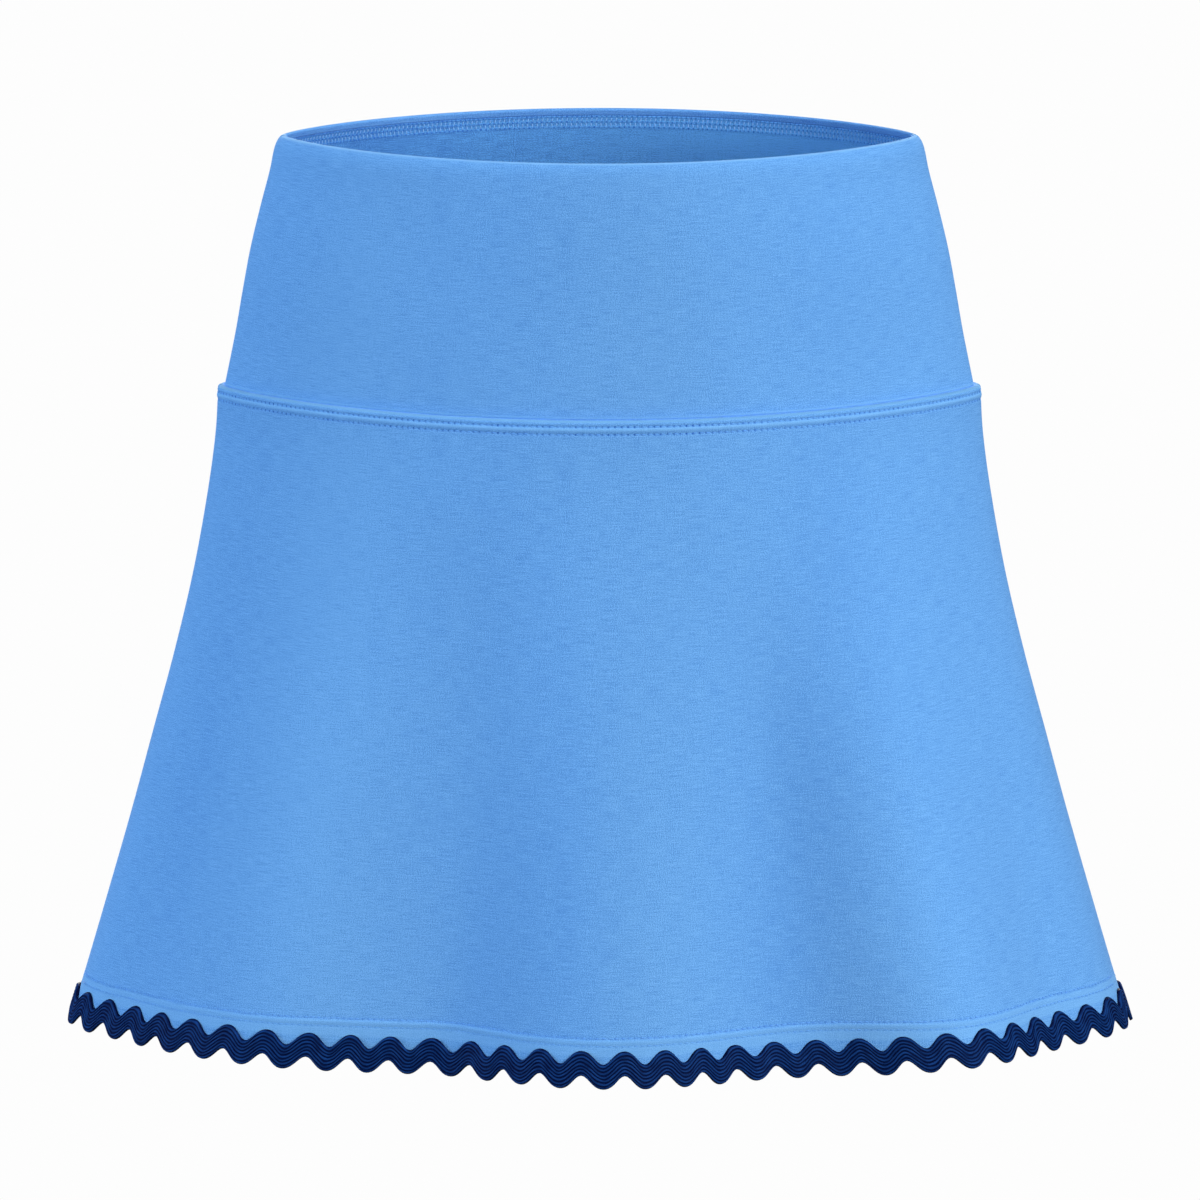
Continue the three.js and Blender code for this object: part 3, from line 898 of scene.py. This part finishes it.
braid_satin = braid_finish()
for panel, side in ((skirt_front, "front"), (skirt_back, "back")):
    steps = int(BRAID_WAVES[side] * STEPS_PER_WAVE)
    length = run_along(panel, BRAID_DOWN)[-1]
    share = np.linspace(0, 1, steps + 1)
    stray = np.interp(share, *BRAID_DRIFT.T) / BRAID_WAVES[side]
    drop = np.interp(share, *BRAID_DROP.T)
    angles = at_distance(panel, BRAID_DOWN, (share + stray) * length)
    share = np.linspace(0, 1, BRAID_RIBS * POINTS_PER_RIB + 1)
    name = f"rickrack_{side}_braid"
    piece, col, row = add_grid(name, steps + 1, len(share), panel["facing"] > 0)
    turn = 2 * math.pi * np.arange(steps + 1) / STEPS_PER_WAVE
    grid_turn, grid_share = np.meshgrid(turn, share)
    grid_angle = np.broadcast_to(angles, grid_turn.shape)
    side_of = 1 - 2 * grid_share
    wave = np.cos(grid_turn) + 2 * BRAID_ROUNDING * side_of * np.sin(grid_turn) ** 2
    down = BRAID_DOWN + drop - BRAID_SWING * wave - side_of * BRAID_WIDTH / 2
    rib = np.abs(np.sin(grid_share * BRAID_RIBS * math.pi)) ** RIB_FLATNESS
    edge = np.clip(np.minimum(grid_share, 1 - grid_share) * BRAID_WIDTH / SELVEDGE, 0, 1) ** 0.5
    out = BRAID_LIFT + (BRAID_THICKNESS - RIB_HEIGHT) * edge + RIB_HEIGHT * rib * edge
    points = cloth_point(panel, grid_angle, down, -out)
    close_sides(panel, points)
    run = np.linspace(0, length * MM, steps + 1)
    uv = np.stack([run[col], share[row]], -1)
    lay_grid(piece, points[row, col], uv, BRAID_SHOWN)
    piece.data.materials.append(braid_satin)
    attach(piece, "root")
    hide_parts(f"rickrack_{side}")

# Sewing. Every stitch is a short fat strand of thread, modelled once and laid along its row.
# The topstitching is in the cloth's own blue, and the coverstitch inside the waist is paler.
STITCH_SIDES = 6
STITCH_RINGS = 5
STITCH_FLATNESS = 0.8
# Steps to each side and up and down that find which way is out, in radians and millimetres
ASIDE = 0.003
ABOVE = 0.5
bpy.ops.mesh.primitive_uv_sphere_add(segments=STITCH_SIDES, ring_count=STITCH_RINGS, radius=1)
pattern = bpy.context.object
stitch_points = np.array([v.co[:] for v in pattern.data.vertices])[:, [2, 0, 1]]
stitch_faces = [list(face.vertices) for face in pattern.data.polygons]
bpy.data.objects.remove(pattern)


def sew(name, panel, runs, width, lift, material, inset=0.0, inward=False):
    """Lays stitches from end to end of each run: (distance, down) to (distance, down), in mm."""
    strands = []
    for first, first_down, second, second_down in runs:
        a0 = at_distance(panel, float(np.mean(first_down)), first)
        a1 = at_distance(panel, float(np.mean(second_down)), second)
        d0 = np.broadcast_to(first_down, np.shape(first))
        d1 = np.broadcast_to(second_down, np.shape(second))
        height = inset + lift if inward else inset - lift
        start = cloth_point(panel, a0, d0, height)
        stop = cloth_point(panel, a1, d1, height)
        angle, down = (a0 + a1) / 2, (d0 + d1) / 2
        level = (cloth_point(panel, angle + ASIDE, down, height)
                 - cloth_point(panel, angle - ASIDE, down, height))
        fall = (cloth_point(panel, angle, down + ABOVE, height)
                - cloth_point(panel, angle, down - ABOVE, height))
        out = np.cross(level, fall)
        out /= np.linalg.norm(out, axis=1, keepdims=True)
        reach = stop - start
        size = np.linalg.norm(reach, axis=1, keepdims=True)
        reach = reach / size
        sideways = np.cross(out, reach)
        shape = (stitch_points[None, :, 0, None] * reach[:, None] * size[:, None] / 2
                 + stitch_points[None, :, 1, None] * sideways[:, None] * width * MM / 2
                 + stitch_points[None, :, 2, None] * out[:, None] * width * MM * STITCH_FLATNESS / 2)
        strands.append((start + stop)[:, None] / 2 + shape)
    points = np.concatenate(strands)
    count = len(stitch_points)
    faces = [[i * count + v for v in face] for i in range(len(points)) for face in stitch_faces]
    mesh = bpy.data.meshes.new(name)
    mesh.from_pydata(points.reshape(-1, 3), [], faces)
    piece = bpy.data.objects.new(name, mesh)
    scene.collection.objects.link(piece)
    bpy.ops.object.select_all(action="DESELECT")
    piece.select_set(True)
    bpy.context.view_layer.objects.active = piece
    turn_outward()
    bpy.ops.object.shade_smooth()
    mesh.materials.append(material)
    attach(piece, "root")


THREAD_BLUE = (0.15, 0.42, 0.95, 1)
THREAD_BLUE_SHADE = (0.1, 0.33, 0.85, 1)
THREAD_PALE = (0.34, 0.62, 1.0, 1)
THREAD_PALE_SHADE = (0.22, 0.48, 0.9, 1)
THREAD_RELIEF = 0.1
PLY_SCALE = 2600.0


def thread_finish(name, colour, shade):
    """Twisted polyester thread: a little shinier than the cloth, with its ply as fine specks."""
    thread = Finish(bpy.data.materials.new(name))
    place = thread.node("ShaderNodeTexCoord", None, None, 3)
    sockets = {"Vector": place, "Scale": PLY_SCALE, "Detail": 1.0}
    ply = thread.node("ShaderNodeTexNoise", None, sockets)
    tone = thread.mix(ply, shade, colour)
    sockets = {"Height": ply, "Strength": 0.3, "Distance": THREAD_RELIEF * MM}
    bump = thread.node("ShaderNodeBump", None, sockets)
    shader = thread.node("ShaderNodeBsdfPrincipled", None, {
        "Base Color": tone, "Normal": bump, "Roughness": 0.5, "Specular IOR Level": 0.2})
    thread.node("ShaderNodeOutputMaterial", None, {"Surface": shader})
    return thread.holder


blue_thread = thread_finish("blue_thread", THREAD_BLUE, THREAD_BLUE_SHADE)
pale_thread = thread_finish("pale_thread", THREAD_PALE, THREAD_PALE_SHADE)
# A row stops this many stitches short of the side seams
END_ROOM = 1.5


def needle_places(panel, down, pitch):
    """Distances of the needle holes along a seam, counted from the middle of the panel."""
    run = run_along(panel, down)
    middle = run[FINE <= 0][-1]
    number = int(min(middle, run[-1] - middle) / pitch - END_ROOM)
    return middle + (np.arange(-number, number) + 0.5) * pitch


# Rows of the skirt's stitches: name, heights, room at the holes, width and lift of the thread
SKIRT_STITCHES = (
    ("topstitch", TOPSTITCH_ROWS, 0.42, 0.5, -0.12),
    ("hem_stitch", HEM_ROWS, 0.35, 0.34, 0.2),
)
for panel, side in ((skirt_front, "front"), (skirt_back, "back")):
    for name, lines, room, width, lift in SKIRT_STITCHES:
        runs = []
        for line in lines:
            holes = needle_places(panel, line, TOPSTITCH_PITCH)
            runs.append((holes + room, line, holes + TOPSTITCH_PITCH - room, line))
        sew(f"{name}_{side}", panel, runs, width, lift, blue_thread)
# The coverstitch's strands stop short of the needle holes, along the rows and between them
COVER_ROOM = 0.5
LOW_ROOM = 0.45
COVER_GAP = 0.35
for panel, side in ((band_front, "front"), (band_back, "back")):
    holes = needle_places(panel, COVER_ROWS[1], COVER_PITCH)
    next_holes = holes + COVER_PITCH
    top, middle, low = COVER_ROWS
    runs = [
        (holes - 0.02, top + COVER_GAP, holes + 0.02, middle - COVER_GAP),
        (holes + 0.15, middle + 0.3, holes + COVER_SLANT - 0.1, low - COVER_GAP),
        (holes + COVER_ROOM, top, next_holes - COVER_ROOM, top),
        (holes + COVER_ROOM, middle, next_holes - COVER_ROOM, middle),
        (holes + COVER_SLANT + LOW_ROOM, low, next_holes + COVER_SLANT - LOW_ROOM, low),
    ]
    sew(f"coverstitch_{side}", panel, runs, width=0.5, lift=0.02, material=pale_thread,
        inset=SHELL, inward=True)

# Overlock. The allowances of the side seams inside the skirt are trimmed and whipped over with
# slanted loops, which show only from below.
OVERLOCK_PITCH = 2.4
OVERLOCK_REACH = 4.2
OVERLOCK_SLANT = 0.9
OVERLOCK_ROOM = 0.3
OVERLOCK_INSET = 2.6
OVERLOCK_EDGE = SIDE_ALLOWANCE - 0.1
OVERLOCK_MARGIN = 2
for end, side in ((-1, "left"), (1, "right")):
    runs = []
    top, bottom = SIDE_STRIP_TOP + OVERLOCK_MARGIN, SIDE_STRIP_END - OVERLOCK_MARGIN
    for down in np.arange(top, bottom, OVERLOCK_PITCH):
        near, far = SIDE_ALLOWANCE - OVERLOCK_REACH, OVERLOCK_EDGE
        if end > 0:
            total = run_along(skirt_back, down)[-1]
            near, far = total - near, total - far
        near, far = np.array([near]), np.array([far])
        runs.append((near, down, far, down + OVERLOCK_SLANT))
        runs.append((near, down, near, down + OVERLOCK_PITCH - OVERLOCK_ROOM))
    sew(f"overlock_{side}", skirt_back, runs, width=0.45, lift=0.1, material=blue_thread,
        inset=OVERLOCK_INSET, inward=True)
